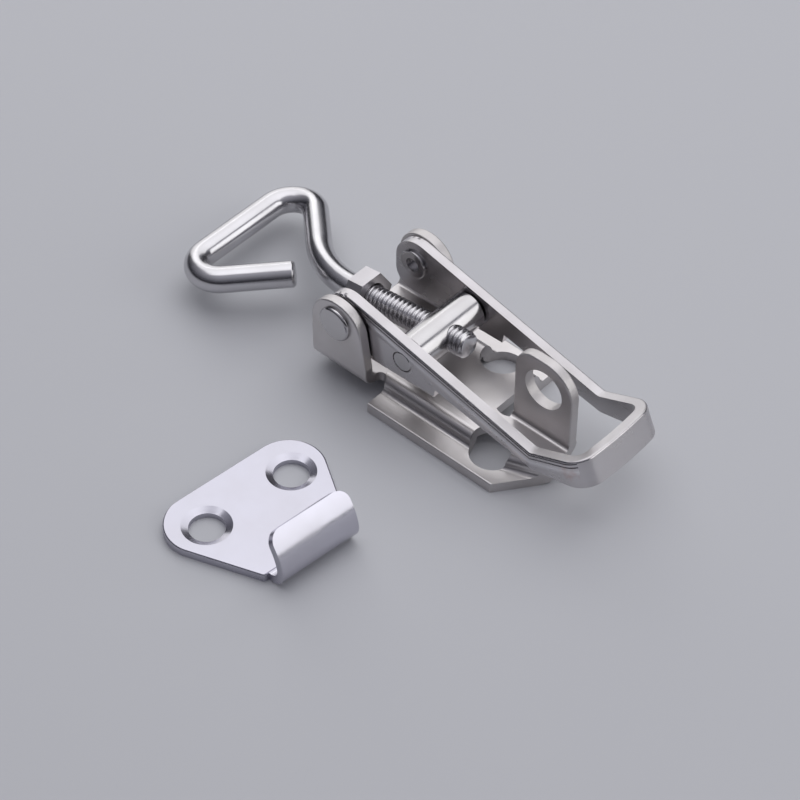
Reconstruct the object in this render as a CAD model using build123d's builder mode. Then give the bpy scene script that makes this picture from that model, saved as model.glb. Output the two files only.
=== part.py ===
from build123d import *
from math import cos, radians, sin, sqrt, tan
import os

# Over centre toggle latch: a sheet steel base with a padlock lug, a hand lever, a cross pin that
# carries a screwed wire hook with its lock nut, and the separate catch plate the hook pulls on.
# Millimetres, +Z up. X runs from the hook to the handle. The origin is on the mounting surface
# under the lever pivot, in the middle plane of the base.

SHEET = 2.5
SMALL_EDGE = 0.4

# Base plate
FLOOR_TOP = 5.8
FLOOR_FRONT_X = -7.0
WALL_OUT_Y = 12.0
FLANGE_Y = 17.3
STRIP_FRONT_X = 9.7
STRIP_END_X = 60.0
TAPER_X = 44.0
TAPER_SLOPE = 0.408
REAR_CUT_X = 45.5
REAR_CUT_SLOPE = 1.344
FAR_END_X = 34.2
CREST_R = 2.4
VALLEY_R = 1.2
LOWER_BEND_R = 3.1
NOTCH_R = 1.3
NOTCH_DEPTH_Y = 10.5
SCREW_HOLE_R = 5.0
FAR_HOLE = (25.3, 10.2)
NEAR_HOLE = (40.0, -10.2)

# Ears that carry the lever pivot
EAR_IN_Y = 12.6
EAR_REAR_X = 8.4
EAR_TOP_R = 7.0
EAR_TOP = (0.1, 16.3)
BEND_IN_R = 1.0
PIVOT_Z = 17.6
RIVET_R = 2.5
RIVET_HEAD_R = 4.15
RIVET_HEAD_Y = 16.0
RIVET_RIM_R = 3.5
RIVET_RIM_Y = 9.1
PUNCH_R = 1.75
PUNCH_DEPTH = 1.2
RUNNING_GAP = 0.05

# Padlock lug
LUG_FRONT_X = 37.8
LUG_REAR_X = 53.2
LUG_TOP_Z = 26.0
LUG_CORNER_R = 5.0
LUG_EYE = (45.6, 18.4)
LUG_HOLE_R = 4.9
RELIEF_SAG = 0.5

# Lever
ARM_IN_Y = 9.8
ARM_OUT_Y = ARM_IN_Y + SHEET
NOSE_X = -5.3
TOP_Z_AT_PIVOT = 24.0
TOP_SLOPE = 0.229
KINK_X = 51.5
TAIL_DEG = 23.5
TAIL_JOINT_X = 58.0
TAIL_END = 7.6
TAIL_CORNER_R = 5.0
TAIL_CROWN_R = 80.0
SKIRT_DEPTH = 9.0
SKIRT_FRONT_DEPTH = 5.8
SKIRT_OVERLAP = 0.5
SKIRT_SLOPE = 0.28
KINK_FOOT = (52.4, 8.1)
KINK_R = 2.0
STRIP_EDGE = 0.5
ARM_STEP_X = 25.6

# Cross pin, hook and lock nut share the line of the hook's shank
PIN_X = 16.3
PIN_Z = 14.93
PIN_BODY_R = 4.4
PIN_END_R = 2.5
PIN_BODY_HALF = 9.5
SHANK_DEG = 7.5
ROD_R = 3.0
SHANK_END = 8.0
SHANK_STRAIGHT = -25.1
SHANK_BEND_R = 25.0
LEG_DEG = 43.0
CROSSBAR_AT = -60.9
LOOP_R = 6.0
HOOK_END_AT = -39.2
NUT_FACE_AT = -19.4
NUT_THICKNESS = 4.2
NUT_FLATS = 10.0

# Catch plate, placed by the middle of its hole pair
CATCH_SHEET = 2.0
CATCH_X = 11.0
CATCH_Y = -53.2
CATCH_TURN_DEG = -6.2
CATCH_CORNER = (-1.2, 11.5)
CATCH_CORNER_R = 8.2
SHOULDER = (17.2, 10.5)
SHOULDER_R = 1.0
CATCH_HOLE_SPACING = 22.6
CATCH_HOLE_R = 3.9
CATCH_SINK_R = 5.4
CATCH_SINK_DEG = 130.0

# Curled lip of the catch plate: a tight bend, then a wide one
LIP_HALF_WIDTH = 10.0
LIP_FROM = 18.2
LIP_TIGHT_R = 4.75
LIP_TIGHT_DEG = 102.0
LIP_WIDE_R = 14.7
LIP_END_DEG = 138.0
LIP_CORNER_R = 3.0


def top_z(x):
    """Height of the lever's top line at x, in front of the kink."""
    return TOP_Z_AT_PIVOT - TOP_SLOPE * x


def taper_y(x):
    """The y where the near wall's outside stands at x, behind the taper's start."""
    return -WALL_OUT_Y + TAPER_SLOPE * (x - TAPER_X)


floor_bottom = FLOOR_TOP - SHEET
ear_bend_y = EAR_IN_Y - BEND_IN_R
bend_z = FLOOR_TOP + BEND_IN_R
wall_in_y = WALL_OUT_Y - SHEET
taper_in_x = TAPER_X - 0.4
lug_y = SHEET / 2
lug_bend_y = lug_y + BEND_IN_R
ear_mid_y = EAR_IN_Y + SHEET / 2

# Lug for a padlock, a flat plate with a soft punched edge all round its outline
with BuildPart() as lug_plate:
    with BuildSketch(Plane.XZ.offset(-lug_y)):
        with BuildLine():
            Line((LUG_FRONT_X, bend_z), (LUG_FRONT_X, LUG_TOP_Z - LUG_CORNER_R))
            RadiusArc(
                (LUG_FRONT_X, LUG_TOP_Z - LUG_CORNER_R),
                (LUG_FRONT_X + LUG_CORNER_R, LUG_TOP_Z),
                LUG_CORNER_R,
            )
            Line((LUG_FRONT_X + LUG_CORNER_R, LUG_TOP_Z), (LUG_EYE[0], LUG_TOP_Z))
            RadiusArc((LUG_EYE[0], LUG_TOP_Z), (LUG_REAR_X, LUG_EYE[1]), LUG_REAR_X - LUG_EYE[0])
            Line((LUG_REAR_X, LUG_EYE[1]), (LUG_REAR_X, bend_z))
            Line((LUG_REAR_X, bend_z), (LUG_FRONT_X, bend_z))
        make_face()
    extrude(amount=SHEET)
    rim = lug_plate.edges().filter_by(lambda e: e.center().Z > bend_z + 0.05)
    fillet(rim.filter_by(lambda e: abs(e.center().Y) > lug_y - 0.05), SMALL_EDGE)

with BuildPart() as base_plate:
    # Flanges and raised middle as one stepped block, hollow below
    with BuildSketch():
        with Locations(((STRIP_FRONT_X + STRIP_END_X) / 2, 0)):
            Rectangle(STRIP_END_X - STRIP_FRONT_X, 2 * FLANGE_Y)
    extrude(amount=SHEET)
    with BuildSketch():
        Polygon(
            (STRIP_FRONT_X, -WALL_OUT_Y),
            (TAPER_X, -WALL_OUT_Y),
            (STRIP_END_X, taper_y(STRIP_END_X)),
            (STRIP_END_X, WALL_OUT_Y),
            (STRIP_FRONT_X, WALL_OUT_Y),
            align=None,
        )
    extrude(amount=FLOOR_TOP)
    with BuildSketch():
        Polygon(
            (STRIP_FRONT_X, -wall_in_y),
            (taper_in_x, -wall_in_y),
            (STRIP_END_X, -wall_in_y + TAPER_SLOPE * (STRIP_END_X - taper_in_x)),
            (STRIP_END_X, wall_in_y),
            (STRIP_FRONT_X, wall_in_y),
            align=None,
        )
    extrude(amount=floor_bottom, mode=Mode.SUBTRACT)
    for height, radius in (
        (FLOOR_TOP, CREST_R),
        (SHEET, VALLEY_R),
        (0, LOWER_BEND_R),
    ):
        level = base_plate.edges().filter_by_position(Axis.Z, height - 0.1, height + 0.1)
        inner = level.filter_by(lambda e: 5 < abs(e.center().Y) < FLANGE_Y - 1)
        fillet(inner.filter_by(lambda e: e.length > 10 and e.center().X < STRIP_END_X - 1), radius)
    # Floor between the ears
    with BuildSketch(Plane.XY.offset(floor_bottom)):
        with Locations(((FLOOR_FRONT_X + STRIP_FRONT_X + 0.3) / 2, 0)):
            Rectangle(STRIP_FRONT_X - FLOOR_FRONT_X + 0.3, 2 * ear_bend_y)
    extrude(amount=SHEET)
    # Rear cut on the near side, and the far corner whose sheet became the lug
    with BuildSketch():
        with BuildLine():
            Polyline(
                (REAR_CUT_X - 1, -FLANGE_Y - REAR_CUT_SLOPE),
                (LUG_REAR_X, -FLANGE_Y + REAR_CUT_SLOPE * (LUG_REAR_X - REAR_CUT_X)),
                (LUG_REAR_X, -lug_bend_y),
                (LUG_FRONT_X, -lug_bend_y),
            )
            ThreePointArc(
                (LUG_FRONT_X, -lug_bend_y),
                ((LUG_FRONT_X + FAR_END_X) / 2, -lug_bend_y - RELIEF_SAG),
                (FAR_END_X, -lug_bend_y),
            )
            Polyline(
                (FAR_END_X, -lug_bend_y),
                (FAR_END_X, FLANGE_Y + 2),
                (STRIP_END_X + 2, FLANGE_Y + 2),
                (STRIP_END_X + 2, -FLANGE_Y - REAR_CUT_SLOPE),
                (REAR_CUT_X - 1, -FLANGE_Y - REAR_CUT_SLOPE),
            )
        make_face()
    extrude(amount=FLOOR_TOP + 1, mode=Mode.SUBTRACT)
    # Bends at the foot of the ears and of the lug
    for side in (-1, 1):
        with BuildSketch(Plane.YZ.offset(FLOOR_FRONT_X)):
            with BuildLine():
                Line((side * ear_bend_y, floor_bottom), (side * ear_bend_y, FLOOR_TOP))
                RadiusArc((side * ear_bend_y, FLOOR_TOP), (side * EAR_IN_Y, bend_z), -side * BEND_IN_R)
                Line((side * EAR_IN_Y, bend_z), (side * (EAR_IN_Y + SHEET), bend_z))
                RadiusArc(
                    (side * (EAR_IN_Y + SHEET), bend_z),
                    (side * ear_bend_y, floor_bottom),
                    side * (BEND_IN_R + SHEET),
                )
            make_face()
        extrude(amount=EAR_REAR_X - FLOOR_FRONT_X)
    with BuildSketch(Plane.YZ.offset(LUG_FRONT_X)):
        with BuildLine():
            Line((-lug_bend_y, floor_bottom), (-lug_bend_y, FLOOR_TOP))
            RadiusArc((-lug_bend_y, FLOOR_TOP), (-lug_y, bend_z), -BEND_IN_R)
            Line((-lug_y, bend_z), (lug_y, bend_z))
            RadiusArc((lug_y, bend_z), (-lug_bend_y, floor_bottom), BEND_IN_R + SHEET)
        make_face()
    extrude(amount=LUG_REAR_X - LUG_FRONT_X)
    # Ears: a round head over a tapering foot
    for y in (-EAR_IN_Y, EAR_IN_Y + SHEET):
        with BuildSketch(Plane.XZ.offset(-y)):
            with Locations(EAR_TOP):
                Circle(EAR_TOP_R)
            with Locations(((FLOOR_FRONT_X + EAR_REAR_X) / 2, bend_z + 0.8)):
                Rectangle(EAR_REAR_X - FLOOR_FRONT_X, 1.6)
            make_hull()
        extrude(amount=SHEET)
    add(lug_plate.part)
    # Soft punched edges on the ears
    rim = base_plate.edges().filter_by(lambda e: e.center().Z > bend_z + 0.05)
    rim = rim.filter_by(lambda e: abs(e.center().Y) > EAR_IN_Y - 0.1)
    rim = rim.filter_by(lambda e: e.center().X < EAR_REAR_X + 1)
    fillet(rim.filter_by(lambda e: abs(abs(e.center().Y) - ear_mid_y) > 0.9), SMALL_EDGE)
    # Relief slots behind the ears
    for side in (-1, 1):
        with BuildSketch():
            with Locations((EAR_REAR_X + NOTCH_R, side * (NOTCH_DEPTH_Y + NOTCH_R))):
                Circle(NOTCH_R)
            with Locations((EAR_REAR_X + NOTCH_R, side * (NOTCH_DEPTH_Y + NOTCH_R + 5))):
                Rectangle(2 * NOTCH_R, 10)
        extrude(amount=FLOOR_TOP + 1, mode=Mode.SUBTRACT)
    # Screw holes, one on each side, where the raised floor steps down
    with BuildSketch():
        with Locations(FAR_HOLE, NEAR_HOLE):
            Circle(SCREW_HOLE_R)
    extrude(amount=FLOOR_TOP + 1, mode=Mode.SUBTRACT)
    # Rivet holes through both ears and the lug's hole
    with BuildSketch(Plane.XZ):
        with Locations((0, PIVOT_Z)):
            Circle(RIVET_R)
    extrude(amount=EAR_IN_Y + SHEET + 1, both=True, mode=Mode.SUBTRACT)
    with BuildSketch(Plane.XZ):
        with Locations(LUG_EYE):
            Circle(LUG_HOLE_R)
    extrude(amount=lug_y + 1, both=True, mode=Mode.SUBTRACT)
    rim = base_plate.edges().filter_by_position(Axis.Z, SHEET - 0.1, SHEET + 0.1)
    fillet(rim.filter_by(lambda e: abs(e.center().Y) > FLANGE_Y - 0.1), SMALL_EDGE)
base_plate.part.label = "base_plate"
export_step(base_plate.part, "parts/base_plate.step")

tail_along = Vector(cos(radians(TAIL_DEG)), 0, sin(radians(TAIL_DEG)))
tail_up = Vector(-sin(radians(TAIL_DEG)), 0, cos(radians(TAIL_DEG)))
tail_start_z = top_z(KINK_X) + (TAIL_JOINT_X - KINK_X) * tan(radians(TAIL_DEG))
corner_y = ARM_OUT_Y - TAIL_CORNER_R
corner_to_crown = TAIL_CROWN_R - TAIL_CORNER_R
corner_x = TAIL_END - TAIL_CROWN_R + sqrt(corner_to_crown**2 - corner_y**2)
# Where the rounded corners run on into the crown, along the tail and across it, per unit of radius
run_on_y = corner_y / corner_to_crown
run_on_x = sqrt(1 - run_on_y**2)
tail_plane = Plane(origin=(TAIL_JOINT_X, 0, tail_start_z), x_dir=tail_along, z_dir=tail_up)
skirt_front = (
    TAIL_JOINT_X + SKIRT_OVERLAP * tail_along.X - SKIRT_FRONT_DEPTH * tail_up.X,
    tail_start_z + SKIRT_OVERLAP * tail_along.Z - SKIRT_FRONT_DEPTH * tail_up.Z,
)

with BuildPart() as lever:
    # Both arms as one block cut to the side outline
    with BuildSketch(Plane.XZ) as side_outline:
        with BuildLine():
            Polyline(
                (NOSE_X, 9.3),
                (NOSE_X, top_z(NOSE_X)),
                (KINK_X, top_z(KINK_X)),
                (TAIL_JOINT_X, tail_start_z),
                skirt_front,
                KINK_FOOT,
                (ARM_STEP_X, 12.9),
                (ARM_STEP_X - 0.4, 10.4),
                (NOSE_X, 9.3),
            )
        make_face()
        fillet(side_outline.vertices().sort_by(Axis.Y)[-1], 6.2)
        fillet(side_outline.vertices().sort_by_distance((NOSE_X, 9.3))[0], 4.5)
        fillet(side_outline.vertices().sort_by_distance((KINK_X, top_z(KINK_X)))[0], KINK_R)
        fillet(side_outline.vertices().sort_by_distance(KINK_FOOT)[0], KINK_R)
    extrude(amount=ARM_OUT_Y, both=True)
    extrude(side_outline.sketch, amount=ARM_IN_Y, both=True, mode=Mode.SUBTRACT)
    # Rounded, slightly crowned end of the strip, square to the tail
    with BuildSketch(tail_plane):
        for start_x, inset, fill in ((0, 0, Mode.ADD), (-1, SHEET, Mode.SUBTRACT)):
            edge_y = ARM_OUT_Y - inset
            turn_r = TAIL_CORNER_R - inset
            turn_x = corner_x + turn_r * run_on_x
            turn_y = corner_y + turn_r * run_on_y
            with BuildLine():
                Line((start_x, -edge_y), (corner_x, -edge_y))
                RadiusArc((corner_x, -edge_y), (turn_x, -turn_y), -turn_r)
                ThreePointArc((turn_x, -turn_y), (TAIL_END - inset, 0), (turn_x, turn_y))
                RadiusArc((turn_x, turn_y), (corner_x, edge_y), -turn_r)
                Line((corner_x, edge_y), (start_x, edge_y))
                Line((start_x, edge_y), (start_x, -edge_y))
            make_face(mode=fill)
    extrude(amount=-SKIRT_DEPTH)
    # The skirt is deepest at the rear, where its lower edge lies flatter than the strip
    with BuildSketch(Plane.XZ):
        Polygon(
            ((KINK_FOOT[0] + skirt_front[0]) / 2, (KINK_FOOT[1] + skirt_front[1]) / 2),
            skirt_front,
            (skirt_front[0] + 12, skirt_front[1] + 12 * SKIRT_SLOPE),
            (skirt_front[0] + 12, 0),
            (KINK_FOOT[0] / 2 + skirt_front[0] / 2, 0),
            align=None,
        )
    extrude(amount=ARM_OUT_Y + 1, both=True, mode=Mode.SUBTRACT)
    # Rolled outer edge along the top of the strip, from nose to nose
    arm_rim = lever.edges().filter_by(lambda e: abs(e.center().Y) > ARM_OUT_Y - 0.05)
    arm_rim = arm_rim.filter_by(lambda e: e.center().Z > max(12, top_z(e.center().X) - 2.5))
    tail_rim = lever.edges().filter_by(lambda e: abs(tail_plane.to_local_coords(e.center()).Z) < 0.05)
    tail_rim = tail_rim.filter_by(lambda e: e.length > 8 and max(abs(e.center().Y), e.center().X - 53) > 10)
    fillet(arm_rim + tail_rim, STRIP_EDGE)
    # Holes for the pivot rivets and the cross pin
    with BuildSketch(Plane.XZ):
        with Locations((0, PIVOT_Z), (PIN_X, PIN_Z)):
            Circle(RIVET_R + RUNNING_GAP)
    extrude(amount=ARM_OUT_Y + 1, both=True, mode=Mode.SUBTRACT)
lever.part.label = "lever"
export_step(lever.part, "parts/lever.step")

# One rivet each side: head outside the ear, clinched rim inside the arm
for side, side_name in ((-1, "near"), (1, "far")):
    with BuildPart() as pivot_rivet:
        with BuildSketch(Plane.YZ) as rivet_profile:
            with BuildLine():
                Polyline(
                    (side * RIVET_RIM_Y, 0),
                    (side * RIVET_RIM_Y, RIVET_RIM_R),
                    (side * (ARM_IN_Y - RUNNING_GAP), RIVET_RIM_R),
                    (side * (ARM_IN_Y - RUNNING_GAP), RIVET_R),
                    (side * (EAR_IN_Y + SHEET), RIVET_R),
                    (side * (EAR_IN_Y + SHEET), RIVET_HEAD_R),
                    (side * RIVET_HEAD_Y, RIVET_HEAD_R),
                    (side * RIVET_HEAD_Y, 0),
                    (side * RIVET_RIM_Y, 0),
                )
            make_face()
        revolve(axis=Axis.Y)
        # Rolled head edge, and the punch mark in the clinched end
        fillet(pivot_rivet.edges().sort_by(Axis.Y)[-1 if side > 0 else 0], 0.7)
        fillet(pivot_rivet.edges().sort_by(Axis.Y)[0 if side > 0 else -1], 0.3)
        with BuildSketch(Plane.XZ.offset(-side * RIVET_RIM_Y)):
            Circle(PUNCH_R)
        extrude(amount=-side * PUNCH_DEPTH, mode=Mode.SUBTRACT)
    pivot_rivet.part.label = "pivot_rivet_" + side_name
    export_step(pivot_rivet.part.moved(Location((0, 0, PIVOT_Z))), "parts/pivot_rivet_" + side_name + ".step")

shank_along = Vector(cos(radians(SHANK_DEG)), 0, sin(radians(SHANK_DEG)))
shank_up = Vector(-sin(radians(SHANK_DEG)), 0, cos(radians(SHANK_DEG)))
shank_plane = Plane(origin=(PIN_X, 0, PIN_Z), x_dir=shank_along, z_dir=shank_up)

with BuildPart() as cross_pin:
    with BuildSketch(Plane.XZ):
        with Locations((PIN_X, PIN_Z)):
            Circle(PIN_BODY_R)
    extrude(amount=PIN_BODY_HALF, both=True)
    chamfer(cross_pin.edges().filter_by(GeomType.CIRCLE), SMALL_EDGE)
    with BuildSketch(Plane.XZ):
        with Locations((PIN_X, PIN_Z)):
            Circle(PIN_END_R)
    extrude(amount=ARM_OUT_Y, both=True)
    ends = cross_pin.edges().filter_by(lambda e: abs(e.center().Y) > ARM_OUT_Y - 0.1)
    chamfer(ends.filter_by(GeomType.CIRCLE), 0.3)
    # Cross hole for the hook's shank
    with BuildSketch(Plane(origin=shank_plane.origin, z_dir=shank_along)):
        Circle(ROD_R + RUNNING_GAP)
    extrude(amount=PIN_BODY_R + 1, both=True, mode=Mode.SUBTRACT)
cross_pin.part.label = "cross_pin"
export_step(cross_pin.part, "parts/cross_pin.step")

# Hook centreline: the shank bends into the far leg, two tight bends carry the crossbar, and the
# near leg comes back and ends short of the shank
leg_x = SHANK_STRAIGHT - SHANK_BEND_R * sin(radians(LEG_DEG))
leg_y = SHANK_BEND_R * (1 - cos(radians(LEG_DEG)))
corner_to_tangent = LOOP_R * tan(radians((90 + LEG_DEG) / 2))
loop_corner_y = leg_y + tan(radians(LEG_DEG)) * (leg_x - CROSSBAR_AT)
loop_x = CROSSBAR_AT + corner_to_tangent * cos(radians(LEG_DEG))
loop_y = loop_corner_y - corner_to_tangent * sin(radians(LEG_DEG))
crossbar_y = loop_corner_y - corner_to_tangent
half_corner = radians((90 - LEG_DEG) / 2)
loop_mid_x = CROSSBAR_AT + LOOP_R * (1 - sin(half_corner))
loop_mid_y = crossbar_y + LOOP_R * cos(half_corner)
hook_end_y = leg_y + tan(radians(LEG_DEG)) * (leg_x - HOOK_END_AT)

with BuildPart() as hook:
    with BuildLine(shank_plane) as hook_line:
        Line((SHANK_END, 0), (SHANK_STRAIGHT, 0))
        RadiusArc((SHANK_STRAIGHT, 0), (leg_x, leg_y), SHANK_BEND_R)
        Line((leg_x, leg_y), (loop_x, loop_y))
        ThreePointArc((loop_x, loop_y), (loop_mid_x, loop_mid_y), (CROSSBAR_AT, crossbar_y))
        Line((CROSSBAR_AT, crossbar_y), (CROSSBAR_AT, -crossbar_y))
        ThreePointArc((CROSSBAR_AT, -crossbar_y), (loop_mid_x, -loop_mid_y), (loop_x, -loop_y))
        Line((loop_x, -loop_y), (HOOK_END_AT, -hook_end_y))
    with BuildSketch(Plane(origin=hook_line.line @ 0, z_dir=hook_line.line % 0)):
        Circle(ROD_R)
    sweep()
    chamfer(hook.faces().filter_by(GeomType.PLANE).edges(), 0.5)
hook.part.label = "hook"
export_step(hook.part, "parts/hook.step")

nut_plane = Plane(origin=shank_plane.from_local_coords((NUT_FACE_AT, 0, 0)), x_dir=(0, 1, 0), z_dir=-shank_along)
with BuildPart() as lock_nut:
    with BuildSketch(nut_plane):
        RegularPolygon(NUT_FLATS / 2, 6, major_radius=False)
    extrude(amount=NUT_THICKNESS)
    with BuildSketch(nut_plane):
        Circle(NUT_FLATS / 2 / cos(radians(30)) + 0.05)
    extrude(amount=NUT_THICKNESS, mode=Mode.INTERSECT)
    with BuildSketch(nut_plane):
        Circle(ROD_R + RUNNING_GAP)
    extrude(amount=NUT_THICKNESS, mode=Mode.SUBTRACT)
    chamfer(lock_nut.edges().filter_by(GeomType.CIRCLE), 0.4)
lock_nut.part.label = "lock_nut"
export_step(lock_nut.part, "parts/lock_nut.step")

catch_frame = Plane(Location((CATCH_X, CATCH_Y, 0), (0, 0, CATCH_TURN_DEG)))
catch_side = Plane(origin=catch_frame.origin, x_dir=catch_frame.x_dir, z_dir=-catch_frame.y_dir)


def on_arc(centre, radius, turn_deg):
    """The point on an arc about the centre whose tangent has turned up by the angle."""
    angle = radians(turn_deg)
    return (centre[0] + radius * sin(angle), centre[1] - radius * cos(angle))


tight_centre = (LIP_FROM, LIP_TIGHT_R)
wide_centre = on_arc(tight_centre, LIP_TIGHT_R - LIP_WIDE_R, LIP_TIGHT_DEG)
lip_mid_deg = (LIP_TIGHT_DEG + LIP_END_DEG) / 2

with BuildPart() as catch_plate:
    # Plate: a round corner about each hole, narrowing to the shoulders beside the lip
    with BuildSketch(catch_frame):
        for side in (-1, 1):
            with Locations((CATCH_CORNER[0], side * CATCH_CORNER[1])):
                Circle(CATCH_CORNER_R)
            with Locations((SHOULDER[0], side * SHOULDER[1])):
                Circle(SHOULDER_R)
        make_hull()
    extrude(amount=CATCH_SHEET)
    rim = catch_plate.edges().filter_by_position(Axis.Z, CATCH_SHEET - 0.1, CATCH_SHEET + 0.1)
    fillet(rim.filter_by(lambda e: catch_frame.to_local_coords(e.center()).X < LIP_FROM - 0.1), SMALL_EDGE)
    # Lip: curled up and back over the plate
    with BuildSketch(catch_side):
        with BuildLine():
            Line((LIP_FROM, 0), (LIP_FROM, CATCH_SHEET))
            for radius in (LIP_TIGHT_R, LIP_TIGHT_R - CATCH_SHEET):
                ThreePointArc(
                    on_arc(tight_centre, radius, 0),
                    on_arc(tight_centre, radius, LIP_TIGHT_DEG / 2),
                    on_arc(tight_centre, radius, LIP_TIGHT_DEG),
                )
            for radius in (LIP_WIDE_R, LIP_WIDE_R - CATCH_SHEET):
                ThreePointArc(
                    on_arc(wide_centre, radius, LIP_TIGHT_DEG),
                    on_arc(wide_centre, radius, lip_mid_deg),
                    on_arc(wide_centre, radius, LIP_END_DEG),
                )
            Line(
                on_arc(wide_centre, LIP_WIDE_R, LIP_END_DEG),
                on_arc(wide_centre, LIP_WIDE_R - CATCH_SHEET, LIP_END_DEG),
            )
        make_face()
    extrude(amount=LIP_HALF_WIDTH, both=True)
    lip_corners = catch_plate.edges().filter_by(lambda e: e.center().Z > LIP_TIGHT_R + 5)
    fillet(lip_corners.filter_by(lambda e: abs(e.length - CATCH_SHEET) < 0.01), LIP_CORNER_R)
    with Locations(catch_frame.offset(CATCH_SHEET)):
        with GridLocations(0, CATCH_HOLE_SPACING, 1, 2):
            CounterSinkHole(CATCH_HOLE_R, CATCH_SINK_R, counter_sink_angle=CATCH_SINK_DEG)
catch_plate.part.label = "catch_plate"
export_step(catch_plate.part, "parts/catch_plate.step")
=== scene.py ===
"""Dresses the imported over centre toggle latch: bright plated steel, a rolled thread, plain studio."""

import logging
import math
from dataclasses import dataclass, field
from enum import Enum

import bpy
from mathutils import Matrix, Vector


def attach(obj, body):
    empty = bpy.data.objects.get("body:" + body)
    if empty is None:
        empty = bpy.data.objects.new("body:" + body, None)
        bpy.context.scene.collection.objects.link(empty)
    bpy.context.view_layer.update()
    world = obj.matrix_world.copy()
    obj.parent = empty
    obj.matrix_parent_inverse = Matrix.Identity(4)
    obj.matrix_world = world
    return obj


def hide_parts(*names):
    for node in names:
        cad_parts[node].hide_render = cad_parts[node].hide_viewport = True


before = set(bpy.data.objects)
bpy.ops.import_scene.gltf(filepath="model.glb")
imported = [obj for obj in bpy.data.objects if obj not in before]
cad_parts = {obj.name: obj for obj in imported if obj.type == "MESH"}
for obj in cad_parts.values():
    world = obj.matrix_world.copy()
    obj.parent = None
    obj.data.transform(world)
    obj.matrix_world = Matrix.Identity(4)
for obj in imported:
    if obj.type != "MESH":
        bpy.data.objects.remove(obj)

MM = 0.001
log = logging.getLogger("latch")


class Marks(Enum):
    """What the making of a surface left on it."""

    ROLLED = "long fine lines from the sheet mill"
    TURNED = "rings from the lathe, round the y axis"
    DRAWN = "lines along a drawn and plated wire"
    TUMBLED = "short grain without direction"


def linear(hex_colour: str) -> tuple[float, float, float, float]:
    """Turns an sRGB hex colour into the linear values that shaders take.

    Args:
        hex_colour: Six hex digits after a hash sign.

    Returns:
        Red, green, blue and an alpha of one.
    """
    parts = [int(hex_colour[i : i + 2], 16) / 255 for i in (1, 3, 5)]
    parts = [c / 12.92 if c <= 0.04045 else ((c + 0.055) / 1.055) ** 2.4 for c in parts]
    return (parts[0], parts[1], parts[2], 1.0)


def add(
    tree: bpy.types.NodeTree, kind: str, inputs: dict[str | int, object] | None = None, **settings: object
) -> bpy.types.Node:
    """Adds one node with its settings, values and links.

    Args:
        tree: The tree that gets the node.
        kind: Blender's name of the node type.
        inputs: Input name or number to a plain value or to the socket that feeds it.
        **settings: Properties of the node itself, such as its operation.

    Returns:
        The new node.
    """
    node = tree.nodes.new(kind)
    for name, value in settings.items():
        setattr(node, name, value)
    for name, value in (inputs or {}).items():
        if isinstance(value, bpy.types.NodeSocket):
            tree.links.new(value, node.inputs[name])
        else:
            node.inputs[name].default_value = value
    return node


@dataclass(frozen=True)
class CutZone:
    """Where the sheared edge of the sheet shows on a piece.

    The surface is an edge where its normal, measured along an axis, lies between two limits, and
    its height lies between two others.
    """

    axis: tuple[float, float, float]
    least: float
    most: float
    low_mm: float = -1.0
    high_mm: float = 40.0


@dataclass(frozen=True)
class Stain:
    """A patch where the bright plate has worn thin and the copper below it tints the steel.

    It fades out between two shares of its reach, along a ragged border.
    """

    centre_mm: tuple[float, float, float]
    reach_mm: float
    strength: float
    colour: str = "#b98a78"
    ragged_per_mm: float = 0.9
    full_within: float = 0.7
    gone_beyond: float = 1.4


@dataclass(frozen=True)
class GrooveWithPaintedLight:
    """A fine line that the die left beside the rolled edge, at one distance below the strip's top. A bump
    dents or raises it, and its colour is painted light: a dark colour is painted shade in the line, a light
    one a painted highlight.

    The top falls along the arms and rises along the tail, so each has a height at x = 0 and a slope.
    The line shows only on the strip's outer side, beyond a distance from the middle plane.
    """

    below_mm: float
    width_mm: float
    depth_mm: float
    strength: float
    # The dark default colour is painted shade in the line
    colour: str = "#55525a"
    height_mm: float = 24.0
    slope: float = 0.229
    tail_height_mm: float = -10.18
    tail_slope: float = 0.4348
    beyond_mm: float = 11.3


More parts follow.
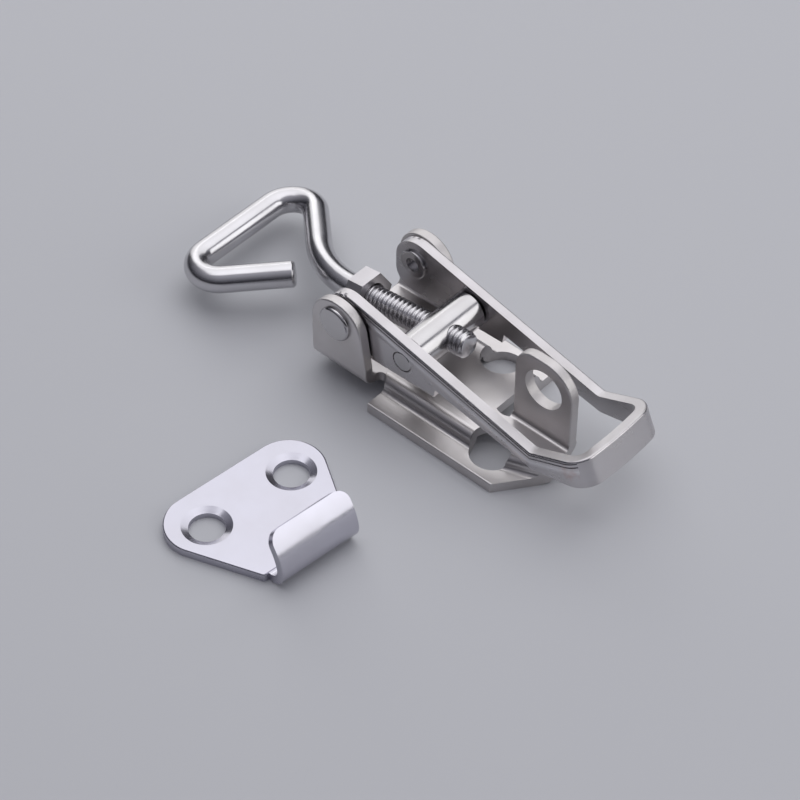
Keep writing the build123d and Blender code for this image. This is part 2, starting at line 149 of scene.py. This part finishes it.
@dataclass(frozen=True)
class PlatedSteel:
    """Steel with a bright nickel plate: it mirrors softly, and keeps the marks of its making.

    The last values are what all the plated steel here has in common.
    """

    name: str
    colour: str
    tint: str
    roughness: float
    spread: float
    marks: Marks
    mark_pitch_mm: float
    mark_depth: float
    waviness: float
    cut_zones: tuple[CutZone, ...] = ()
    stains: tuple[Stain, ...] = ()
    # Die lines whose colour is painted shade or a painted highlight
    grooves_with_painted_light: tuple[GrooveWithPaintedLight, ...] = ()
    cloud_per_mm: float = 0.11
    cloud_range: tuple[float, float] = (0.3, 0.7)
    swell_per_mm: float = 0.28
    drawn_stretch: float = 0.02
    torn_per_mm: float = 3.0
    tear_mm: float = 0.05
    marks_roughen: float = 0.05
    tear_roughens: float = 0.12
    wear_roughens: float = 0.08

    def material(self) -> bpy.types.Material:
        """Builds the node material.

        Returns:
            The material, named for the metal and its finish.
        """
        material = bpy.data.materials.new(self.name)
        material.use_nodes = True
        tree = material.node_tree
        shader = tree.nodes["Principled BSDF"]
        shader.inputs["Metallic"].default_value = 1.0
        # Object coordinates are metres, so this scale makes every pattern size a size in mm
        place = add(tree, "ShaderNodeTexCoord").outputs["Object"]
        mm = add(tree, "ShaderNodeMapping", {"Vector": place, "Scale": (1000, 1000, 1000)}).outputs[0]
        # The plate is uneven over about a centimetre, in tone and in polish
        grain = {"Vector": mm, "Scale": self.cloud_per_mm, "Detail": 3.0}
        cloud = add(tree, "ShaderNodeTexNoise", grain).outputs["Fac"]
        shades = {0: cloud, 6: linear(self.colour), 7: linear(self.tint)}
        colour = add(tree, "ShaderNodeMix", shades, data_type="RGBA").outputs[2]
        polish = {"Value": cloud, "From Min": self.cloud_range[0], "From Max": self.cloud_range[1]}
        polish |= {"To Min": self.roughness, "To Max": self.roughness + self.spread}
        rough = add(tree, "ShaderNodeMapRange", polish).outputs["Result"]
        grain = {"Vector": mm, "Scale": self.swell_per_mm, "Detail": 1.0}
        swell = add(tree, "ShaderNodeTexNoise", grain).outputs["Fac"]
        relief = {"Strength": 1.0, "Distance": self.waviness * MM, "Height": swell}
        normal = add(tree, "ShaderNodeBump", relief).outputs[0]
        marks = self.marks_height(tree, mm)
        relief = {"Strength": 1.0, "Distance": self.mark_depth * MM, "Height": marks, "Normal": normal}
        normal = add(tree, "ShaderNodeBump", relief).outputs[0]
        # The marks scatter light a little even where they are too fine to see
        sums = {0: marks, 1: self.marks_roughen, 2: rough}
        rough = add(tree, "ShaderNodeMath", sums, operation="MULTIPLY_ADD").outputs[0]
        if self.cut_zones:
            edge = self.edge_mask(tree, place)
            # A sheared edge is torn across the sheet, with a grain of about a third of a millimetre
            grain = {"Vector": mm, "Scale": self.torn_per_mm, "Detail": 2.0}
            torn = add(tree, "ShaderNodeTexNoise", grain).outputs["Fac"]
            tear = add(tree, "ShaderNodeMath", {0: edge, 1: torn}, operation="MULTIPLY").outputs[0]
            sums = {0: edge, 1: self.tear_roughens, 2: rough}
            rough = add(tree, "ShaderNodeMath", sums, operation="MULTIPLY_ADD").outputs[0]
            relief = {"Strength": 1.0, "Distance": self.tear_mm * MM, "Height": tear, "Normal": normal}
            normal = add(tree, "ShaderNodeBump", relief).outputs[0]
        # Each die line is dented or raised, and its colour is painted shade or a painted highlight
        for groove in self.grooves_with_painted_light:
            line = self.groove_and_painted_light_mask(tree, mm, groove)
            relief = {"Strength": 1.0, "Distance": -groove.depth_mm * MM, "Height": line, "Normal": normal}
            normal = add(tree, "ShaderNodeBump", relief).outputs[0]
            shades = {0: line, 6: colour, 7: linear(groove.colour)}
            colour = add(tree, "ShaderNodeMix", shades, data_type="RGBA").outputs[2]
        for stain in self.stains:
            spot = self.stain_mask(tree, mm, stain)
            shades = {0: spot, 6: colour, 7: linear(stain.colour)}
            colour = add(tree, "ShaderNodeMix", shades, data_type="RGBA").outputs[2]
            sums = {0: spot, 1: self.wear_roughens, 2: rough}
            rough = add(tree, "ShaderNodeMath", sums, operation="MULTIPLY_ADD").outputs[0]
        tree.links.new(colour, shader.inputs["Base Color"])
        tree.links.new(rough, shader.inputs["Roughness"])
        tree.links.new(normal, shader.inputs["Normal"])
        return material

    def marks_height(self, tree: bpy.types.NodeTree, mm: bpy.types.NodeSocket) -> bpy.types.NodeSocket:
        """Adds the pattern that the making left on the surface.

        Args:
            tree: The material's tree.
            mm: Place on the piece in millimetres.

        Returns:
            The pattern's height, from 0 to 1.
        """
        fine = 1 / self.mark_pitch_mm
        if self.marks is Marks.DRAWN:
            around = add(tree, "ShaderNodeAttribute", attribute_name="around_mm").outputs["Fac"]
            along = add(tree, "ShaderNodeAttribute", attribute_name="along_mm").outputs["Fac"]
            drawn_out = {0: along, 1: self.drawn_stretch}
            drawn_out = add(tree, "ShaderNodeMath", drawn_out, operation="MULTIPLY").outputs[0]
            grain = add(tree, "ShaderNodeCombineXYZ", {"X": around, "Y": drawn_out}).outputs[0]
        else:
            stretch = {
                Marks.ROLLED: (0.03, 1.0, 1.0),
                Marks.TURNED: (0.05, 1.0, 0.05),
                Marks.TUMBLED: (1.0, 1.0, 1.0),
            }[self.marks]
            grain = add(tree, "ShaderNodeMapping", {"Vector": mm, "Scale": stretch}).outputs[0]
        return add(tree, "ShaderNodeTexNoise", {"Vector": grain, "Scale": fine, "Detail": 2.0}).outputs["Fac"]

    def edge_mask(self, tree: bpy.types.NodeTree, place: bpy.types.NodeSocket) -> bpy.types.NodeSocket:
        """Adds the mask of the sheared edges.

        Args:
            tree: The material's tree.
            place: Place on the piece in metres.

        Returns:
            One on a sheared edge and nought elsewhere.
        """
        normal = add(tree, "ShaderNodeTexCoord").outputs["Normal"]
        level = add(tree, "ShaderNodeSeparateXYZ", {0: place}).outputs["Z"]
        total: float | bpy.types.NodeSocket = 0.0
        for zone in self.cut_zones:
            along = add(tree, "ShaderNodeVectorMath", {0: normal, 1: zone.axis}, operation="DOT_PRODUCT")
            size = add(tree, "ShaderNodeMath", {0: along.outputs["Value"]}, operation="ABSOLUTE").outputs[0]
            middle = {0: size, 1: (zone.least + zone.most) / 2, 2: (zone.most - zone.least) / 2}
            inside = add(tree, "ShaderNodeMath", middle, operation="COMPARE").outputs[0]
            half = (zone.high_mm - zone.low_mm) / 2
            heights = {0: level, 1: (zone.low_mm + zone.high_mm) / 2 * MM, 2: half * MM}
            at_height = add(tree, "ShaderNodeMath", heights, operation="COMPARE").outputs[0]
            inside = add(tree, "ShaderNodeMath", {0: inside, 1: at_height}, operation="MULTIPLY").outputs[0]
            total = add(tree, "ShaderNodeMath", {0: total, 1: inside}, operation="MAXIMUM").outputs[0]
        return total

    def groove_and_painted_light_mask(
        self, tree: bpy.types.NodeTree, mm: bpy.types.NodeSocket, groove: GrooveWithPaintedLight
    ) -> bpy.types.NodeSocket:
        """Adds the mask of one fine line that runs below the top of the strip, for its bump and for its
        painted shade or highlight.

        Args:
            tree: The material's tree.
            mm: Place on the piece in millimetres.
            groove: The line.

        Returns:
            One on the middle of the line, falling to nought at its sides.
        """
        parts = add(tree, "ShaderNodeSeparateXYZ", {0: mm}).outputs
        arm = {0: parts["X"], 1: -groove.slope, 2: groove.height_mm}
        arm_top = add(tree, "ShaderNodeMath", arm, operation="MULTIPLY_ADD").outputs[0]
        tail = {0: parts["X"], 1: groove.tail_slope, 2: groove.tail_height_mm}
        tail_top = add(tree, "ShaderNodeMath", tail, operation="MULTIPLY_ADD").outputs[0]
        top = add(tree, "ShaderNodeMath", {0: arm_top, 1: tail_top}, operation="MAXIMUM").outputs[0]
        below = add(tree, "ShaderNodeMath", {0: top, 1: parts["Z"]}, operation="SUBTRACT").outputs[0]
        away = add(tree, "ShaderNodeMath", {0: below, 1: groove.below_mm}, operation="SUBTRACT").outputs[0]
        away = add(tree, "ShaderNodeMath", {0: away}, operation="ABSOLUTE").outputs[0]
        fall = {"Value": away, "From Min": groove.width_mm / 2, "From Max": 0.0, "To Max": groove.strength}
        line = add(tree, "ShaderNodeMapRange", fall).outputs["Result"]
        from_middle = add(tree, "ShaderNodeMath", {0: parts["Y"]}, operation="ABSOLUTE").outputs[0]
        limit = {0: from_middle, 1: groove.beyond_mm}
        outside = add(tree, "ShaderNodeMath", limit, operation="GREATER_THAN").outputs[0]
        return add(tree, "ShaderNodeMath", {0: line, 1: outside}, operation="MULTIPLY").outputs[0]

    def stain_mask(
        self, tree: bpy.types.NodeTree, mm: bpy.types.NodeSocket, stain: Stain
    ) -> bpy.types.NodeSocket:
        """Adds the mask of one worn patch with a ragged border.

        Args:
            tree: The material's tree.
            mm: Place on the piece in millimetres.
            stain: The patch.

        Returns:
            How far the patch shows, from 0 to its strength.
        """
        apart = add(tree, "ShaderNodeVectorMath", {0: mm, 1: stain.centre_mm}, operation="DISTANCE")
        grain = {"Vector": mm, "Scale": stain.ragged_per_mm, "Detail": 2.0}
        torn = add(tree, "ShaderNodeTexNoise", grain).outputs["Fac"]
        sums = {0: torn, 1: stain.reach_mm, 2: apart.outputs["Value"]}
        ragged = add(tree, "ShaderNodeMath", sums, operation="MULTIPLY_ADD").outputs[0]
        fall = {"Value": ragged, "From Min": stain.reach_mm * stain.gone_beyond}
        fall |= {"From Max": stain.reach_mm * stain.full_within, "To Max": stain.strength}
        return add(tree, "ShaderNodeMapRange", fall).outputs["Result"]


# Cold rolled steel, punched, bent and nickel plated: broad soft mirrors, torn grain on its edges
BASE_FINISH = PlatedSteel(
    name="nickel_plated_sheet_steel",
    colour="#d4d1d2",
    tint="#c4c0be",
    roughness=0.26,
    spread=0.12,
    marks=Marks.ROLLED,
    mark_pitch_mm=0.35,
    mark_depth=0.002,
    waviness=0.02,
    cut_zones=(
        CutZone((0, 0, 1), -0.1, 0.5, high_mm=2.55),
        CutZone((0, 1, 0), -0.1, 0.6, low_mm=8.0),
    ),
)
LEVER_FINISH = PlatedSteel(
    name="nickel_plated_strip_steel",
    colour="#cfcccf",
    tint="#bebbbb",
    roughness=0.17,
    spread=0.12,
    marks=Marks.ROLLED,
    mark_pitch_mm=0.35,
    mark_depth=0.002,
    waviness=0.02,
    cut_zones=(CutZone((0, 0, 1), 0.86, 1.1),),
    stains=(Stain((61.5, -10.5, 13.5), 3.0, 0.55),),
    grooves_with_painted_light=(
        # Two dented die lines whose dark colour is painted shade
        GrooveWithPaintedLight(below_mm=0.55, width_mm=0.45, depth_mm=0.15, strength=0.9),
        GrooveWithPaintedLight(below_mm=1.45, width_mm=0.45, depth_mm=0.12, strength=0.8),
        # A raised band painted near white: a painted highlight below the rolled edge
        GrooveWithPaintedLight(below_mm=2.7, width_mm=2.0, depth_mm=-0.16, strength=0.6, colour="#f2f1f4"),
    ),
)
CATCH_FINISH = PlatedSteel(
    name="nickel_plated_catch_steel",
    colour="#c6c5d0",
    tint="#bfbdc5",
    roughness=0.13,
    spread=0.08,
    marks=Marks.ROLLED,
    mark_pitch_mm=0.4,
    mark_depth=0.0015,
    waviness=0.015,
    cut_zones=(CutZone((0, 0, 1), -0.1, 0.4, high_mm=2.05),),
)
# Bright drawn wire, bent cold and plated: the smoothest surface here
WIRE_FINISH = PlatedSteel(
    name="nickel_plated_drawn_wire",
    colour="#d2d1d4",
    tint="#c6c4c6",
    roughness=0.16,
    spread=0.08,
    marks=Marks.DRAWN,
    mark_pitch_mm=0.5,
    mark_depth=0.0015,
    waviness=0.02,
    stains=(Stain((-38.0, -9.0, 5.0), 3.2, 0.6),),
)
# Turned and plated bar: rings so fine that they only stretch the highlights
TURNED_FINISH = PlatedSteel(
    name="nickel_plated_turned_steel",
    colour="#cccacc",
    tint="#bcbaba",
    roughness=0.13,
    spread=0.08,
    marks=Marks.TURNED,
    mark_pitch_mm=0.25,
    mark_depth=0.002,
    waviness=0.01,
)
NUT_FINISH = PlatedSteel(
    name="nickel_plated_pressed_nut_steel",
    colour="#c8c6ca",
    tint="#b8b5b7",
    roughness=0.24,
    spread=0.10,
    marks=Marks.TUMBLED,
    mark_pitch_mm=0.3,
    mark_depth=0.003,
    waviness=0.015,
)


def dress(node: str, material: bpy.types.Material) -> None:
    """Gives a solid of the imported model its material.

    Args:
        node: The solid's name.
        material: What it is made of.
    """
    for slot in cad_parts[node].material_slots:
        slot.material = material
    log.info("%s: %s", node, material.name)


@dataclass
class SheetParts:
    """The pieces bent from sheet, whose shape the solids already have."""

    finishes: dict[str, PlatedSteel] = field(
        default_factory=lambda: {
            "base_plate": BASE_FINISH,
            "lever": LEVER_FINISH,
            "catch_plate": CATCH_FINISH,
        }
    )

    def build(self) -> None:
        """Gives each sheet piece its plated finish."""
        for node, finish in self.finishes.items():
            dress(node, finish.material())


@dataclass
class TurnedParts:
    """The rivets, the cross pin and the lock nut."""

    nodes: tuple[str, ...] = ("cross_pin", "pivot_rivet_near", "pivot_rivet_far")
    nut: str = "lock_nut"

    def build(self) -> None:
        """Gives the turned pieces one shared finish and the nut its own."""
        material = TURNED_FINISH.material()
        for node in self.nodes:
            dress(node, material)
        dress(self.nut, NUT_FINISH.material())


@dataclass
class HookRod:
    """The hook: a 6 mm bar, threaded at one end and bent into an open loop at the other.

    Lengths are in millimetres. The line of the bar lies in one plane, through the middle of the
    cross pin, that leans by the shank's slope.
    """

    pin_x: float = 16.3
    pin_z: float = 14.93
    slope_deg: float = 7.5
    radius: float = 3.0
    shank_end: float = 8.0
    shank_straight: float = -25.1
    shank_bend_r: float = 25.0
    leg_deg: float = 43.0
    crossbar_at: float = -60.9
    loop_r: float = 6.0
    hook_end_at: float = -39.2
    thread_pitch: float = 1.2
    thread_depth: float = 0.66
    thread_length: float = 31.1
    thread_runout: float = 2.4
    point_chamfer: float = 0.5
    tail_chamfer: float = 0.5
    crest_until: float = 0.16
    root_from: float = 0.88
    around: int = 48
    rings_per_pitch: int = 14
    plain_step: float = 0.55
    tail_zone: float = 1.2
    tail_rings: int = 8
    sharp_deg: float = 50.0

    def runs(self) -> list[tuple[float, float]]:
        """Splits the bar's line into runs from the threaded end to the hook's open end.

        Returns:
            Length and curvature of each run, a left turn being positive.
        """
        leg = math.radians(self.leg_deg)
        leg_x = self.shank_straight - self.shank_bend_r * math.sin(leg)
        leg_y = self.shank_bend_r * (1 - math.cos(leg))
        turn = math.pi / 2 + leg
        reach = self.loop_r * math.tan(turn / 2)
        corner_y = leg_y + math.tan(leg) * (leg_x - self.crossbar_at)
        long_leg = (leg_x - self.crossbar_at) / math.cos(leg) - reach
        short_leg = (self.hook_end_at - self.crossbar_at) / math.cos(leg) - reach
        return [
            (self.shank_end - self.shank_straight, 0.0),
            (self.shank_bend_r * leg, -1 / self.shank_bend_r),
            (long_leg, 0.0),
            (self.loop_r * turn, 1 / self.loop_r),
            (2 * (corner_y - reach), 0.0),
            (self.loop_r * turn, 1 / self.loop_r),
            (short_leg, 0.0),
        ]

    def stations(self, total: float) -> list[float]:
        """Lists where the rings of the bar's surface stand along its line.

        Args:
            total: Length of the whole line.

        Returns:
            Distances from the threaded end, closest together on the thread and at both ends.
        """
        step = self.thread_pitch / self.rings_per_pitch
        thread = [i * step for i in range(int(self.thread_length / step) + 1)]
        length = total - self.tail_zone - self.thread_length
        count = int(length / self.plain_step)
        plain = [self.thread_length + (i + 1) * length / count for i in range(count)]
        step = self.tail_zone / self.tail_rings
        tail = [total - self.tail_zone + (i + 1) * step for i in range(self.tail_rings)]
        return thread + plain + tail

    def point(self, distance: float) -> Vector:
        """Finds a point of the bar's line.

        Args:
            distance: How far along the line it is from the threaded end, in mm.

        Returns:
            The point, in mm.
        """
        x, y, heading = self.shank_end, 0.0, math.pi
        left = distance
        for length, bend in self.runs():
            part = min(left, length)
            if bend:
                turned = heading + part * bend
                x += (math.sin(turned) - math.sin(heading)) / bend
                y += (math.cos(heading) - math.cos(turned)) / bend
                heading = turned
            else:
                x += part * math.cos(heading)
                y += part * math.sin(heading)
            left -= part
            if left <= 0:
                break
        slope = math.radians(self.slope_deg)
        return Vector((self.pin_x + x * math.cos(slope), y, self.pin_z + x * math.sin(slope)))

    def rail(self) -> bpy.types.Object:
        """Makes the bar's line as a chain of edges that knows its own length.

        Returns:
            An object with one vertex for each ring, and the attribute along_mm.
        """
        total = sum(length for length, _ in self.runs())
        stations = self.stations(total)
        mesh = bpy.data.meshes.new("hook_rod")
        points = [self.point(s) * MM for s in stations]
        mesh.from_pydata(points, [(i, i + 1) for i in range(len(points) - 1)], [])
        along = mesh.attributes.new("along_mm", "FLOAT", "POINT")
        along.data.foreach_set("value", stations)
        rail = bpy.data.objects.new("hook_rail", mesh)
        bpy.context.scene.collection.objects.link(rail)
        return rail

    def tree(self) -> bpy.types.NodeTree:
        """Builds the nodes that turn the chain into a threaded and chamfered bar.

        Returns:
            A geometry tree whose inputs are the bar's sizes in mm and its material.
        """
        tree = bpy.data.node_groups.new("threaded_bar", "GeometryNodeTree")
        sockets = {
            "Radius": "NodeSocketFloat",
            "Pitch": "NodeSocketFloat",
            "Depth": "NodeSocketFloat",
            "Thread Length": "NodeSocketFloat",
            "Run-out": "NodeSocketFloat",
            "Point Chamfer": "NodeSocketFloat",
            "Tail Chamfer": "NodeSocketFloat",
            "Bar Length": "NodeSocketFloat",
            "Around": "NodeSocketInt",
            "Finish": "NodeSocketMaterial",
        }
        tree.interface.new_socket("Rail", in_out="INPUT", socket_type="NodeSocketGeometry")
        for name, kind in sockets.items():
            tree.interface.new_socket(name, in_out="INPUT", socket_type=kind)
        tree.interface.new_socket("Bar", in_out="OUTPUT", socket_type="NodeSocketGeometry")
        given = add(tree, "NodeGroupInput").outputs

        # The chain becomes a curve, and each of its points remembers where it is
        curve = add(tree, "GeometryNodeMeshToCurve", {"Mesh": given["Rail"]}).outputs["Curve"]
        centre = add(tree, "GeometryNodeCaptureAttribute")
        centre.capture_items.new("VECTOR", "Centre")
        tree.links.new(curve, centre.inputs["Geometry"])
        position = add(tree, "GeometryNodeInputPosition").outputs[0]
        tree.links.new(position, centre.inputs["Centre"])
        radius = add(tree, "ShaderNodeMath", {0: given["Radius"], 1: MM}, operation="MULTIPLY").outputs[0]
        profile = {"Resolution": given["Around"], "Radius": radius}
        circle = add(tree, "GeometryNodeCurvePrimitiveCircle", profile)
        turn = add(tree, "GeometryNodeCaptureAttribute")
        turn.capture_items.new("FLOAT", "Turn")
        tree.links.new(circle.outputs["Curve"], turn.inputs["Geometry"])
        tree.links.new(add(tree, "GeometryNodeSplineParameter").outputs["Factor"], turn.inputs["Turn"])
        curves = {"Curve": centre.outputs["Geometry"], "Profile Curve": turn.outputs["Geometry"]}
        bar = add(tree, "GeometryNodeCurveToMesh", curves | {"Fill Caps": True}).outputs["Mesh"]
        name = {"Name": "along_mm"}
        along = add(tree, "GeometryNodeInputNamedAttribute", name, data_type="FLOAT").outputs[0]
        # The groove winds once round the bar for each pitch, with rounded crest and root
        wound = add(tree, "ShaderNodeMath", {0: along, 1: given["Pitch"]}, operation="DIVIDE").outputs[0]
        turned = {0: wound, 1: turn.outputs["Turn"]}
        wound = add(tree, "ShaderNodeMath", turned, operation="SUBTRACT").outputs[0]
        # Whole turns are added so that the part after the point always counts upwards
        whole_turns = 64.0
        wound = add(tree, "ShaderNodeMath", {0: wound, 1: whole_turns}, operation="ADD").outputs[0]
        phase = add(tree, "ShaderNodeMath", {0: wound}, operation="FRACT").outputs[0]
        swing = add(tree, "ShaderNodeMath", {0: phase, 1: 2.0, 2: -1.0}, operation="MULTIPLY_ADD").outputs[0]
        swing = add(tree, "ShaderNodeMath", {0: swing}, operation="ABSOLUTE").outputs[0]
        groove = add(tree, "ShaderNodeMath", {0: 1.0, 1: swing}, operation="SUBTRACT").outputs[0]
        flanks = {"Value": groove, "From Min": self.crest_until, "From Max": self.root_from}
        groove = add(tree, "ShaderNodeMapRange", flanks, interpolation_type="SMOOTHSTEP").outputs["Result"]
        to_go = {0: given["Thread Length"], 1: along}
        left = add(tree, "ShaderNodeMath", to_go, operation="SUBTRACT").outputs[0]
        run_out = {"Value": left, "From Max": given["Run-out"]}
        fade = add(tree, "ShaderNodeMapRange", run_out).outputs["Result"]
        cut = add(tree, "ShaderNodeMath", {0: groove, 1: fade}, operation="MULTIPLY").outputs[0]
        cut = add(tree, "ShaderNodeMath", {0: cut, 1: given["Depth"]}, operation="MULTIPLY").outputs[0]
        point_cut = {0: given["Point Chamfer"], 1: along}
        point_cut = add(tree, "ShaderNodeMath", point_cut, operation="SUBTRACT").outputs[0]
        tail_cut = {0: given["Tail Chamfer"], 1: along}
        tail_cut = add(tree, "ShaderNodeMath", tail_cut, operation="ADD").outputs[0]
        tail_cut = {0: tail_cut, 1: given["Bar Length"]}
        tail_cut = add(tree, "ShaderNodeMath", tail_cut, operation="SUBTRACT").outputs[0]
        cut = add(tree, "ShaderNodeMath", {0: cut, 1: point_cut}, operation="MAXIMUM").outputs[0]
        cut = add(tree, "ShaderNodeMath", {0: cut, 1: tail_cut}, operation="MAXIMUM").outputs[0]
        from_centre = {0: add(tree, "GeometryNodeInputPosition").outputs[0], 1: centre.outputs["Centre"]}
        outward = add(tree, "ShaderNodeVectorMath", from_centre, operation="SUBTRACT").outputs[0]
        outward = add(tree, "ShaderNodeVectorMath", {0: outward}, operation="NORMALIZE").outputs[0]
        depth = add(tree, "ShaderNodeMath", {0: cut, 1: -MM}, operation="MULTIPLY").outputs[0]
        inward = {0: outward, "Scale": depth}
        inward = add(tree, "ShaderNodeVectorMath", inward, operation="SCALE").outputs[0]
        bar = add(tree, "GeometryNodeSetPosition", {"Geometry": bar, "Offset": inward}).outputs[0]
        # The drawn lines of the wire follow these two lengths
        girth = {0: turn.outputs["Turn"], 1: given["Radius"]}
        girth = add(tree, "ShaderNodeMath", girth, operation="MULTIPLY").outputs[0]
        girth = add(tree, "ShaderNodeMath", {0: girth, 1: math.tau}, operation="MULTIPLY").outputs[0]
        store = {"Geometry": bar, "Name": "around_mm", "Value": girth}
        kept = add(tree, "GeometryNodeStoreNamedAttribute", store, data_type="FLOAT", domain="POINT")
        bar = kept.outputs[0]
        bar = add(tree, "GeometryNodeSetShadeSmooth", {"Geometry": bar}).outputs[0]
        bar = add(tree, "GeometryNodeRealizeInstances", {"Geometry": bar}).outputs[0]
        finish = {"Geometry": bar, "Material": given["Finish"]}
        bar = add(tree, "GeometryNodeSetMaterial", finish).outputs[0]
        add(tree, "NodeGroupOutput", {"Bar": bar})
        return tree

    def build(self) -> bpy.types.Object:
        """Builds the bar, stands it for the plain solid and makes it ride with the hook.

        Returns:
            The finished piece.
        """
        rail = self.rail()
        modifier = rail.modifiers.new("bar", "NODES")
        modifier.node_group = self.tree()
        sizes = {
            "Radius": self.radius,
            "Pitch": self.thread_pitch,
            "Depth": self.thread_depth,
            "Thread Length": self.thread_length,
            "Run-out": self.thread_runout,
            "Point Chamfer": self.point_chamfer,
            "Tail Chamfer": self.tail_chamfer,
            "Bar Length": sum(length for length, _ in self.runs()),
            "Around": self.around,
            "Finish": WIRE_FINISH.material(),
        }
        names = {item.name: item.identifier for item in modifier.node_group.interface.items_tree}
        for name, value in sizes.items():
            modifier[names[name]] = value
        graph = bpy.context.evaluated_depsgraph_get()
        made = rail.evaluated_get(graph)
        mesh = bpy.data.meshes.new_from_object(made, preserve_all_data_layers=True, depsgraph=graph)
        bpy.data.objects.remove(rail)
        mesh.set_sharp_from_angle(angle=math.radians(self.sharp_deg))
        bar = bpy.data.objects.new("hook_bar", mesh)
        bpy.context.scene.collection.objects.link(bar)
        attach(bar, "hook")
        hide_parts("hook")
        log.info("hook_bar: %d faces", len(mesh.polygons))
        return bar


@dataclass(frozen=True)
class Panel:
    """One square soft light that faces the latch."""

    name: str
    place_m: tuple[float, float, float]
    side_m: float
    watts: float


@dataclass
class Studio:
    """A plain pale floor, three soft panels, a grey room and the camera."""

    panels: tuple[Panel, ...] = (
        # It hangs where level faces and the sloping arms mirror it to the viewer
        Panel("overhead_panel", (-0.20, 0.32, 0.86), 1.35, 6.0),
        # The rising tail mirrors this one
        Panel("rear_panel", (-0.80, 0.50, 0.26), 0.6, 1.3),
        # This one lights what faces the handle, such as the curled lip
        Panel("side_panel", (0.90, 0.42, 0.42), 0.8, 3.0),
    )
    aim_m: tuple[float, float, float] = (0.01, -0.02, 0.01)
    # How high the ray looks, from the horizon at 0 to straight up at 1, and the colour it meets
    room: tuple[tuple[float, str], ...] = (
        (0.0, "#222226"),
        (0.22, "#2c2c32"),
        (0.5, "#6c6c74"),
        (1.0, "#b4b4bd"),
    )
    floor_colour: str = "#c6c7cb"
    floor_roughness: float = 0.6
    floor_half_m: float = 3.0
    camera_mm: tuple[float, float, float] = (298.3, -326.9, 440.0)
    towards_camera: tuple[float, float, float] = (0.4646, -0.5175, 0.7185)
    roll_deg: float = 0.29
    lens_mm: float = 128.7
    sensor_mm: float = 36.0
    nearest_m: float = 0.01

    def build(self) -> None:
        """Builds the floor, the lights, the world and the camera."""
        self.floor()
        self.world()
        for panel in self.panels:
            self.hang(panel)
        self.camera()
        bpy.context.scene.view_settings.view_transform = "Standard"

    def floor(self) -> None:
        """Lays the pale floor that the latch and its catch plate lie on."""
        half = self.floor_half_m
        mesh = bpy.data.meshes.new("floor")
        corners = [(-half, -half, 0), (half, -half, 0), (half, half, 0), (-half, half, 0)]
        mesh.from_pydata(corners, [], [(0, 1, 2, 3)])
        floor = bpy.data.objects.new("floor", mesh)
        bpy.context.scene.collection.objects.link(floor)
        material = bpy.data.materials.new("matt_painted_board")
        material.use_nodes = True
        shader = material.node_tree.nodes["Principled BSDF"]
        shader.inputs["Base Color"].default_value = linear(self.floor_colour)
        shader.inputs["Roughness"].default_value = self.floor_roughness
        mesh.materials.append(material)

    def world(self) -> None:
        """Makes the room: grey overhead, darker towards the walls."""
        world = bpy.data.worlds.new("room")
        bpy.context.scene.world = world
        world.use_nodes = True
        tree = world.node_tree
        looking = add(tree, "ShaderNodeTexCoord").outputs["Generated"]
        up = add(tree, "ShaderNodeSeparateXYZ", {0: looking}).outputs["Z"]
        ramp = add(tree, "ShaderNodeValToRGB", {"Fac": up})
        ends = zip(ramp.color_ramp.elements, (self.room[0], self.room[-1]))
        for stop, (height, colour) in ends:
            stop.position = height
            stop.color = linear(colour)
        for height, colour in self.room[1:-1]:
            ramp.color_ramp.elements.new(height).color = linear(colour)
        background = tree.nodes["Background"]
        tree.links.new(ramp.outputs["Color"], background.inputs["Color"])

    def hang(self, panel: Panel) -> None:
        """Hangs one panel.

        Args:
            panel: The soft light, its place and its power.
        """
        light = bpy.data.lights.new(panel.name, "AREA")
        light.size = panel.side_m
        light.energy = panel.watts
        lamp = bpy.data.objects.new(panel.name, light)
        bpy.context.scene.collection.objects.link(lamp)
        place = Vector(panel.place_m)
        lamp.location = place
        lamp.rotation_euler = (Vector(self.aim_m) - place).to_track_quat("-Z", "Y").to_euler()

    def camera(self) -> None:
        """Sets up the camera by its place, its direction and its roll."""
        data = bpy.data.cameras.new("camera")
        data.lens = self.lens_mm
        data.sensor_width = self.sensor_mm
        data.clip_start = self.nearest_m
        camera = bpy.data.objects.new("camera", data)
        bpy.context.scene.collection.objects.link(camera)
        turn = (-Vector(self.towards_camera)).to_track_quat("-Z", "Y").to_matrix().to_4x4()
        roll = Matrix.Rotation(math.radians(self.roll_deg), 4, "Z")
        camera.matrix_world = Matrix.Translation(Vector(self.camera_mm) * MM) @ turn @ roll
        bpy.context.scene.camera = camera


def main() -> None:
    """Builds the scene."""
    logging.basicConfig(level=logging.INFO, format="%(message)s")
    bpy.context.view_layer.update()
    Studio().build()
    SheetParts().build()
    TurnedParts().build()
    HookRod().build()


if __name__ == "__main__":
    main()
